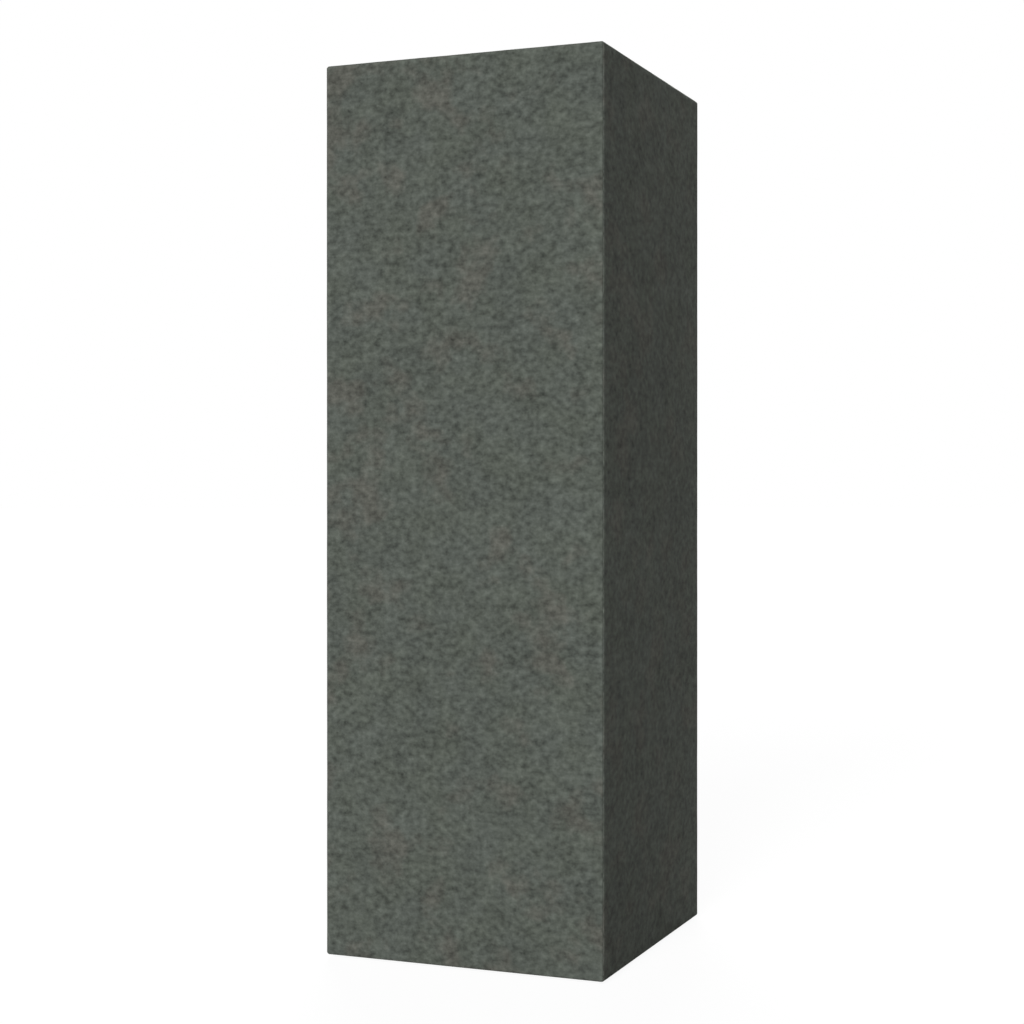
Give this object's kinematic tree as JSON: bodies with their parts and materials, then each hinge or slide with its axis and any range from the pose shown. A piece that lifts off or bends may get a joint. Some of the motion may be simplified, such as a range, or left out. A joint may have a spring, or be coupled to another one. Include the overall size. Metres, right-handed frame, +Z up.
{
  "type": "bass trap",
  "caption": "Free-standing square column of mineral wool in a timber frame, under a stretched melange cloth cover, for absorbing low notes in the corner of a room.",
  "frame": {"origin": "on the floor under the middle of the column, in the plane of the undersides of the glides", "axes": "+Z up, -Y to the front, +X to the right of someone who faces the front"},
  "size_m": [0.4, 0.4, 1.2042],
  "materials": {
    "melange_cloth": "felted melange, matt",
    "black_fleece": "thin non-woven fleece",
    "black_nonwoven": "spunbonded non-woven, matt",
    "mineral_wool": "pressed fibres, cut edges",
    "plywood": "sanded, unfinished",
    "spruce": "planed, unfinished",
    "beech": "turned, unfinished",
    "zinc_steel": "bright zinc plate",
    "black_plastic": "moulded, matt"
  },
  "bodies": {
    "root": {"cover_front": "melange_cloth", "cover_right": "melange_cloth", "cover_rear": "melange_cloth", "cover_left": "melange_cloth", "cover_top": "melange_cloth", "fleece_liner": "black_fleece", "dust_cloth": "black_nonwoven", "absorber_slab_1": "mineral_wool", "absorber_slab_2": "mineral_wool", "absorber_slab_3": "mineral_wool", "absorber_slab_4": "mineral_wool", "base_panel": "plywood", "top_panel": "plywood", "post_front_left": "spruce", "post_front_right": "spruce", "post_rear_left": "spruce", "post_rear_right": "spruce", "rail_front": "spruce", "rail_rear": "spruce", "rail_left": "spruce", "rail_right": "spruce", "dowel_front_rail_left": "beech", "dowel_front_rail_right": "beech", "dowel_rear_rail_left": "beech", "dowel_rear_rail_right": "beech", "dowel_left_rail_front": "beech", "dowel_left_rail_rear": "beech", "dowel_right_rail_front": "beech", "dowel_right_rail_rear": "beech", "base_screw_front_left": "zinc_steel", "base_screw_front_right": "zinc_steel", "base_screw_rear_left": "zinc_steel", "base_screw_rear_right": "zinc_steel", "top_screw_front_left": "zinc_steel", "top_screw_front_right": "zinc_steel", "top_screw_rear_left": "zinc_steel", "top_screw_rear_right": "zinc_steel", "glide_front_left": "black_plastic", "glide_front_right": "black_plastic", "glide_rear_left": "black_plastic", "glide_rear_right": "black_plastic", "glide_screw_front_left": "zinc_steel", "glide_screw_front_right": "zinc_steel", "glide_screw_rear_left": "zinc_steel", "glide_screw_rear_right": "zinc_steel"}
  },
  "joints": []
}
